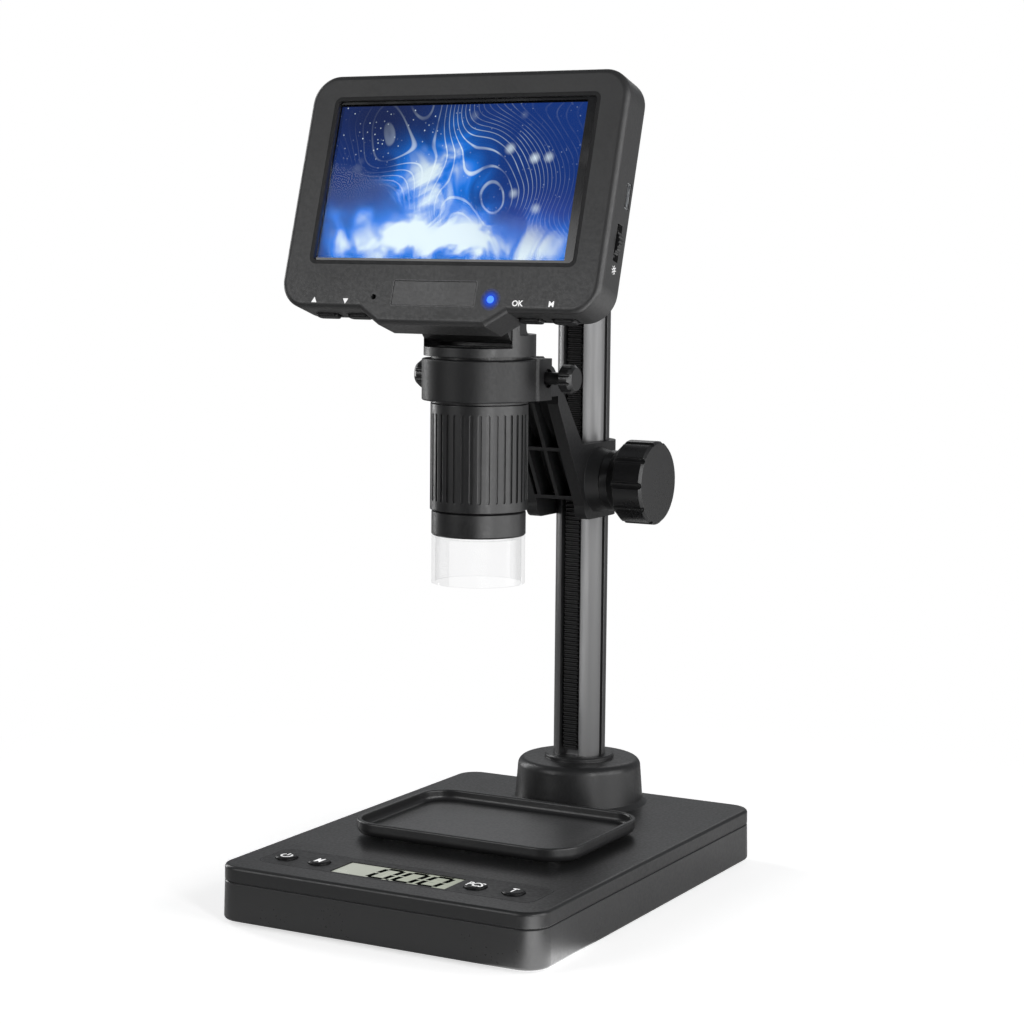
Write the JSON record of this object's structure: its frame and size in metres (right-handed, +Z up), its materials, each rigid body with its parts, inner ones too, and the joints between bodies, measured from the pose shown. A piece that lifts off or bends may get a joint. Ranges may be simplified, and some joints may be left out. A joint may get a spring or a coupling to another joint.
{
  "type": "lcd digital microscope",
  "caption": "Upright digital microscope with a tilting flat screen, ribbed focus tube, rack column and a scale base with a lift-off tray.",
  "frame": {"origin": "middle of the base outline on the surface the feet stand on", "axes": "+X to the user's right, +Y to the back, +Z up along the column"},
  "size_m": [0.1244, 0.1728, 0.2858],
  "materials": {
    "shell_plastic": "fine matt texture",
    "cover_paint": "fine satin texture",
    "panel_gloss": "smooth film",
    "readout_glass": "grey green readout",
    "button_plastic": "satin",
    "board": "solder mask",
    "rubber_black": "matt",
    "steel": "plated",
    "aluminium_bare": "machined",
    "tray_plastic": "satin",
    "column_black": "black anodised",
    "rack_black": "moulded nylon",
    "arm_plastic": "fine matt",
    "knob_plastic": "matt",
    "tube_black": "satin",
    "clear_plastic": "clear, polished",
    "lens_glass": "coated",
    "head_plastic": "fine satin",
    "window_glass": "polished",
    "screen": "lit picture",
    "plate_grey": "smooth",
    "indicator_blue": "lit",
    "cell_wrap": "printed sleeve, left plain",
    "contact_metal": "plated spring steel"
  },
  "bodies": {
    "base": {"base_lower_shell": "shell_plastic", "base_top_cover": "cover_paint", "base_screws": "steel", "rubber_feet": "rubber_black", "control_panel": "panel_gloss", "scale_readout": "readout_glass", "scale_board": "board", "load_cell": "aluminium_bare", "load_cell_screws": "steel", "platform_support": "aluminium_bare", "scale_batteries": "cell_wrap", "battery_contacts": "contact_metal", "column": "column_black", "column_screw": "steel", "column_cap": "knob_plastic", "rack_strip": "rack_black"},
    "tray": {"weighing_tray": "tray_plastic"},
    "battery_lid": {"battery_door": "shell_plastic"},
    "carriage": {"carriage_arm": "arm_plastic", "friction_pad": "rack_black", "friction_screw": "steel"},
    "focus_drive": {"pinion_shaft": "steel", "focus_knob": "knob_plastic", "shaft_end_cap": "knob_plastic"},
    "ring_screw_right": {"thumbscrew_right": "knob_plastic"},
    "ring_screw_left": {"thumbscrew_left": "knob_plastic"},
    "tube": {"barrel_tube": "tube_black", "tilt_yoke": "tube_black", "hinge_pins": "steel", "nose_ring": "tube_black", "lamp_ring": "board", "sensor_board": "board"},
    "focus_grip": {"focus_ring": "tube_black"},
    "shield": {"lens_shield": "clear_plastic"},
    "lens_carrier": {"lens_cell": "rack_black", "objective_lens": "lens_glass"},
    "head": {"front_bezel": "head_plastic", "rear_cover": "head_plastic", "screen_window": "window_glass", "lcd_panel": "screen", "main_board": "board", "head_battery": "cell_wrap", "name_plate": "plate_grey", "indicator_light": "indicator_blue", "power_socket": "steel", "card_slot": "steel", "head_screws": "steel"},
    "brightness_dial": {"brightness_wheel": "knob_plastic"},
    "scale_key_power": {"scale_button_power": "button_plastic"},
    "scale_key_mode": {"scale_button_mode": "button_plastic"},
    "scale_key_count": {"scale_button_count": "button_plastic"},
    "scale_key_tare": {"scale_button_tare": "button_plastic"},
    "head_key_up": {"head_button_up": "button_plastic"},
    "head_key_down": {"head_button_down": "button_plastic"},
    "head_key_enter": {"head_button_enter": "button_plastic"},
    "head_key_menu": {"head_button_menu": "button_plastic"}
  },
  "joints": [
    {"name": "tray_lift", "type": "slide", "parent": "base", "child": "tray", "axis": [0, 0, 1], "range_m": [0, 0.03]},
    {"name": "battery_lid_hinge", "type": "hinge", "parent": "base", "child": "battery_lid", "pos_m": [-0.044, 0.0318, 0.0021], "axis": [1, 0, 0], "range_deg": [0, 80]},
    {"name": "carriage_slide", "type": "slide", "parent": "base", "child": "carriage", "axis": [0, 0, 1], "range_m": [-0.07, 0.045]},
    {"name": "focus_turn", "type": "hinge", "parent": "carriage", "child": "focus_drive", "pos_m": [0, 0.05153, 0.1433], "axis": [1, 0, 0], "range_deg": [-870, 1350]},
    {"name": "ring_screw_right_turn", "type": "hinge", "parent": "carriage", "child": "ring_screw_right", "pos_m": [0.0262, -0.0046, 0.1832], "axis": [1, 0, 0], "range_deg": [0, 720]},
    {"name": "ring_screw_left_turn", "type": "hinge", "parent": "carriage", "child": "ring_screw_left", "pos_m": [-0.0262, -0.0046, 0.1832], "axis": [-1, 0, 0], "range_deg": [0, 720]},
    {"name": "tube_swivel", "type": "hinge", "parent": "carriage", "child": "tube", "pos_m": [0, -0.01669, 0.1756], "axis": [0, 0, 1], "range_deg": [-45, 45]},
    {"name": "screen_tilt", "type": "hinge", "parent": "tube", "child": "head", "pos_m": [0, -0.022, 0.2015], "axis": [1, 0, 0], "range_deg": [-20, 12]},
    {"name": "grip_turn", "type": "hinge", "parent": "tube", "child": "focus_grip", "pos_m": [0, -0.01669, 0.15625], "axis": [0, 0, 1], "range_deg": [-150, 150]},
    {"name": "lens_travel", "type": "slide", "parent": "tube", "child": "lens_carrier", "axis": [0, 0, 1], "range_m": [-0.003, 0.003]},
    {"name": "shield_pull", "type": "slide", "parent": "tube", "child": "shield", "axis": [0, 0, -1], "range_m": [0, 0.015]},
    {"name": "brightness_turn", "type": "hinge", "parent": "head", "child": "brightness_dial", "pos_m": [0.0562, -0.03491, 0.22946], "axis": [0, 0.957, -0.2902], "range_deg": [-150, 150]},
    {"name": "scale_key_power_press", "type": "slide", "parent": "base", "child": "scale_key_power", "axis": [0, 0, -1], "range_m": [0, 0.0005], "stiffness_N_per_m": 300, "springref_m": -0.0004},
    {"name": "scale_key_mode_press", "type": "slide", "parent": "base", "child": "scale_key_mode", "axis": [0, 0, -1], "range_m": [0, 0.0005], "stiffness_N_per_m": 300, "springref_m": -0.0004},
    {"name": "scale_key_count_press", "type": "slide", "parent": "base", "child": "scale_key_count", "axis": [0, 0, -1], "range_m": [0, 0.0005], "stiffness_N_per_m": 300, "springref_m": -0.0004},
    {"name": "scale_key_tare_press", "type": "slide", "parent": "base", "child": "scale_key_tare", "axis": [0, 0, -1], "range_m": [0, 0.0005], "stiffness_N_per_m": 300, "springref_m": -0.0004},
    {"name": "head_key_up_press", "type": "slide", "parent": "head", "child": "head_key_up", "axis": [0, 0.2902, 0.957], "range_m": [0, 0.0007], "stiffness_N_per_m": 300, "springref_m": -0.0004},
    {"name": "head_key_down_press", "type": "slide", "parent": "head", "child": "head_key_down", "axis": [0, 0.2902, 0.957], "range_m": [0, 0.0007], "stiffness_N_per_m": 300, "springref_m": -0.0004},
    {"name": "head_key_enter_press", "type": "slide", "parent": "head", "child": "head_key_enter", "axis": [0, 0.2902, 0.957], "range_m": [0, 0.0007], "stiffness_N_per_m": 300, "springref_m": -0.0004},
    {"name": "head_key_menu_press", "type": "slide", "parent": "head", "child": "head_key_menu", "axis": [0, 0.2902, 0.957], "range_m": [0, 0.0007], "stiffness_N_per_m": 300, "springref_m": -0.0004}
  ],
  "couplings": [
    {"joint": "focus_turn", "follows": "carriage_slide", "rad_per_m": -333.33},
    {"joint": "lens_travel", "follows": "grip_turn", "m_per_rad": 0.00112}
  ]
}
